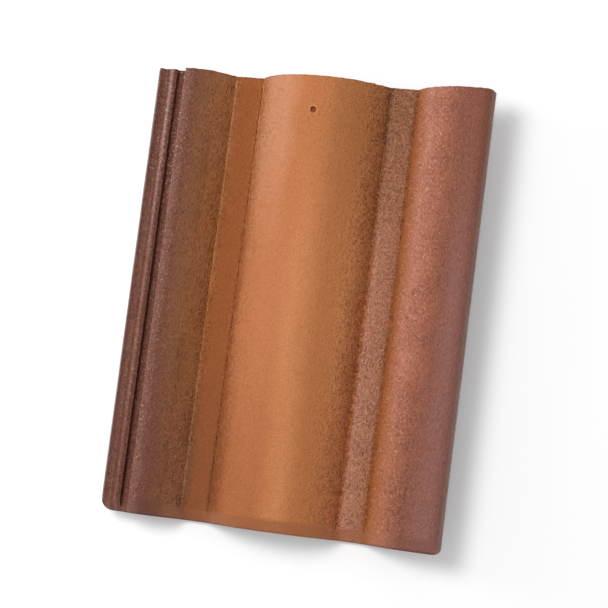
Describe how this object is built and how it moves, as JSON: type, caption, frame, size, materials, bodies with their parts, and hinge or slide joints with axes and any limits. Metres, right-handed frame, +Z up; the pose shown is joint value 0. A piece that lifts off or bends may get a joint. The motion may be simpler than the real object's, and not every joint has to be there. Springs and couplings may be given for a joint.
{
  "type": "interlocking roof tile",
  "caption": "Interlocking roof tile with rolls and narrow flat pans, a ribbed side lock, a covering edge with a drip rib, a chamfered nose, hanging nibs and a nail hole.",
  "frame": {"origin": "centre of the bounding box, in the plane that the tile lies on", "axes": "+Z up out of the weather face, +Y along the rolls from the nose to the head, +X from the side lock to the covering edge"},
  "size_m": [0.33, 0.4206, 0.0594],
  "materials": {
    "coated_tile": "satin"
  },
  "bodies": {
    "root": {"roof_tile": "coated_tile"}
  },
  "joints": []
}
